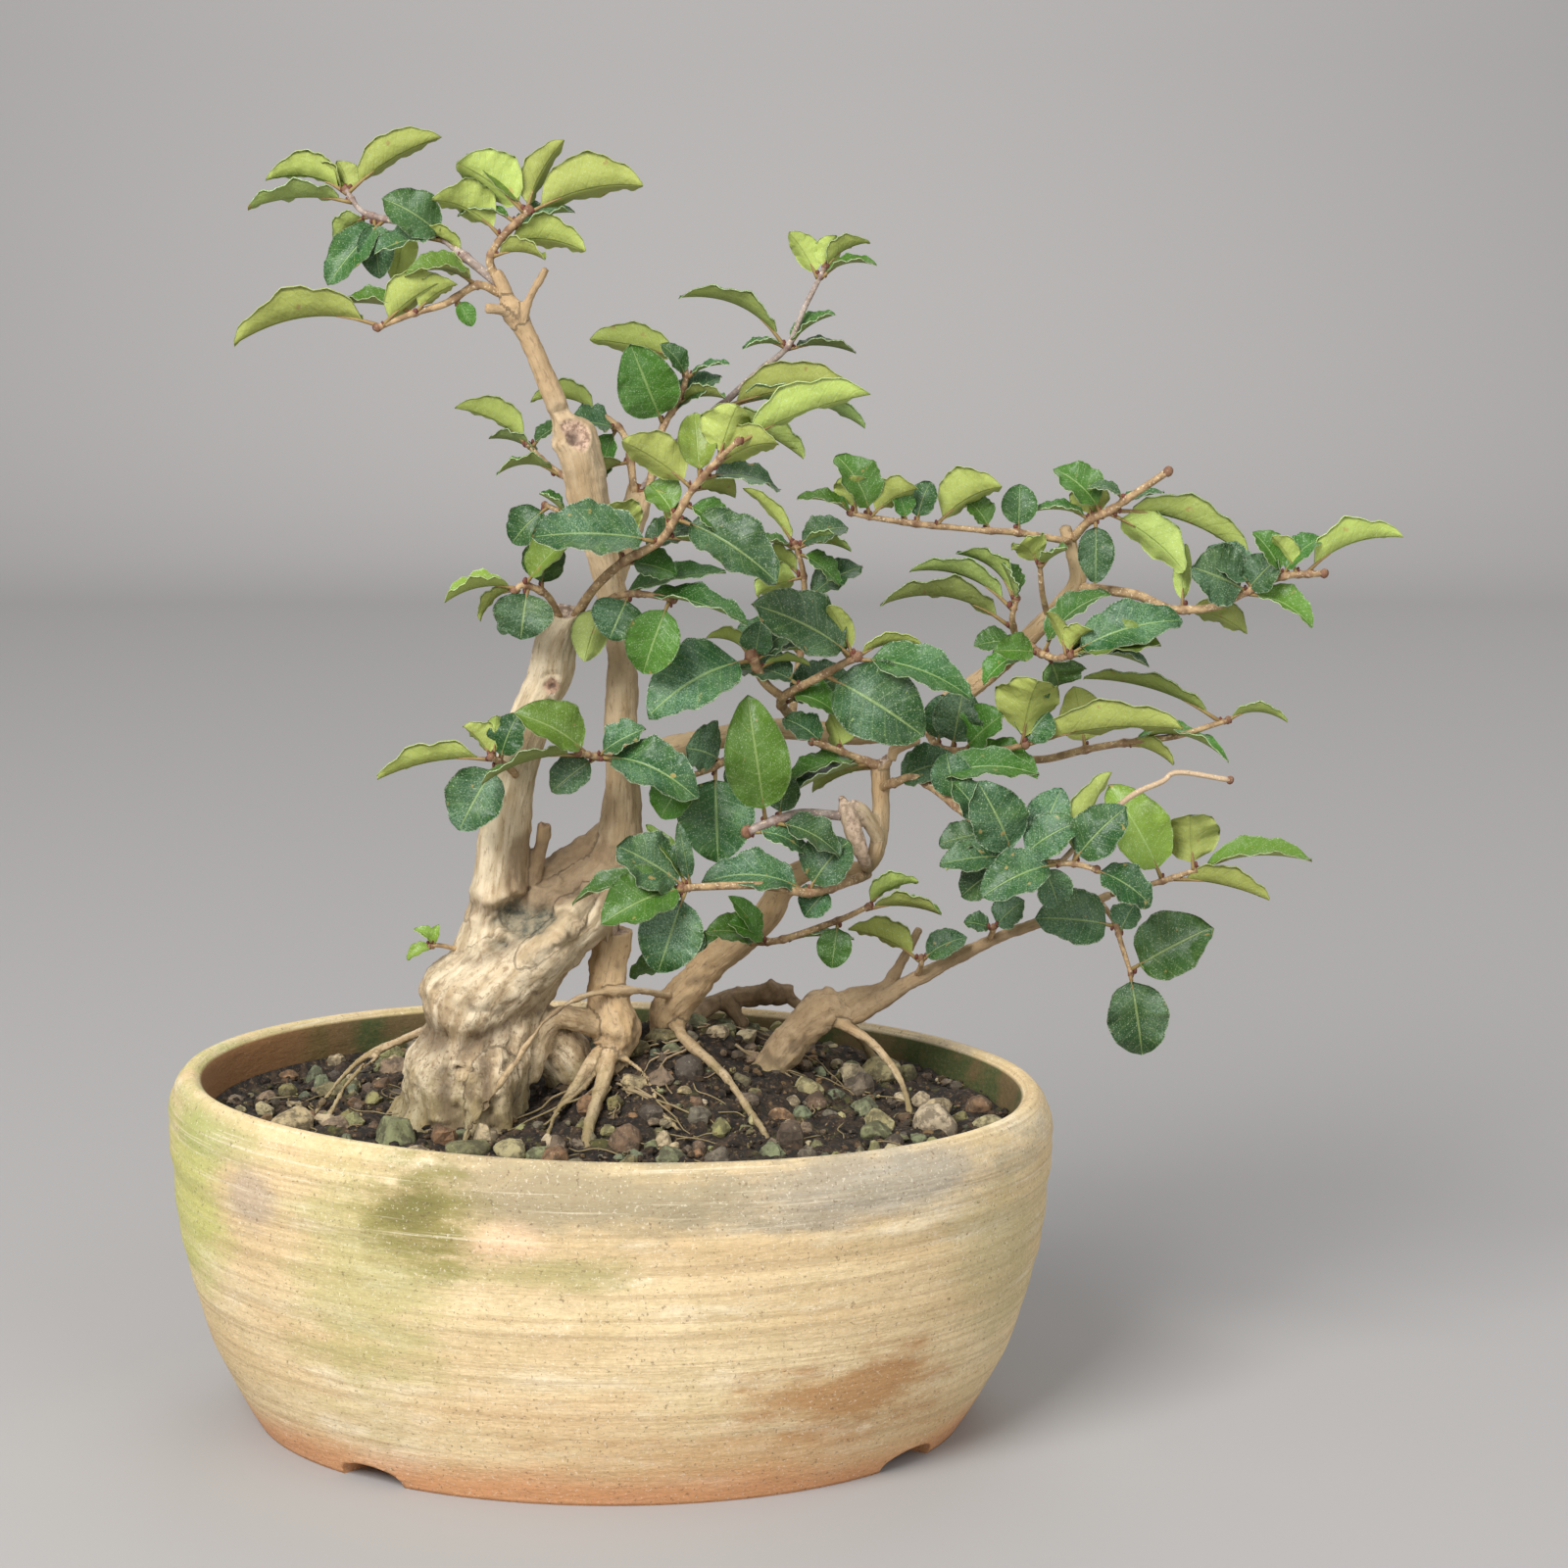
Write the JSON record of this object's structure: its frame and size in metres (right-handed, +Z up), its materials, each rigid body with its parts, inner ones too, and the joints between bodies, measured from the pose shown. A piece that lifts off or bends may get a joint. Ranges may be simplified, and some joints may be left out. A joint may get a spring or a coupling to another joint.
{
  "type": "bonsai tree in a pot",
  "caption": "Small multi-trunk privet bonsai with bare limbs and leafy stems, rooted in soil in an oval clay pot with drain channels under its foot.",
  "frame": {"origin": "middle of the flat underside of the pot", "axes": "+Z up the tree; -Y is the front of the tree, towards the viewer; +X is the viewer's right, the side that the long limbs reach to"},
  "size_m": [0.2889, 0.1532, 0.306],
  "materials": {
    "pot": "unglazed",
    "drain_cover": "moulded mesh",
    "soil": "crumbly compost",
    "wood": "bark",
    "stones": "rough",
    "foliage": "leaves on thin twigs"
  },
  "bodies": {
    "root": {"drain_cover_1": "drain_cover", "drain_cover_2": "drain_cover", "drain_cover_3": "drain_cover", "drain_cover_4": "drain_cover", "pot": "pot", "soil": "soil", "spray_a_left": "foliage", "spray_a_low": "foliage", "spray_a_right": "foliage", "spray_base_sprout": "foliage", "spray_centre": "foliage", "spray_centre_low": "foliage", "spray_crown_left": "foliage", "spray_crown_low": "foliage", "spray_crown_top": "foliage", "spray_e_back": "foliage", "spray_e_grey": "foliage", "spray_e_left": "foliage", "spray_e_lower": "foliage", "spray_e_top": "foliage", "spray_f_hanging": "foliage", "spray_f_middle": "foliage", "spray_f_side": "foliage", "spray_f_tip": "foliage", "spray_front_twig": "foliage", "spray_left_back": "foliage", "spray_left_low": "foliage", "spray_left_low_back": "foliage", "spray_limb_front": "foliage", "spray_limb_long": "foliage", "spray_limb_middle": "foliage", "spray_limb_thin": "foliage", "spray_limb_up": "foliage", "spray_mid_back": "foliage", "spray_right_low": "foliage", "spray_right_top_left": "foliage", "spray_right_top_right": "foliage", "spray_right_top_up": "foliage", "spray_top_back": "foliage", "spray_upper_left": "foliage", "spray_upper_mid": "foliage", "stone_brick": "stones", "stone_green": "stones", "stone_grey": "stones", "stone_olive": "stones", "stone_pale": "stones", "stone_pink": "stones", "stone_slab": "stones", "stone_tan": "stones", "stone_teal": "stones", "trunk_and_roots": "wood"}
  },
  "joints": []
}
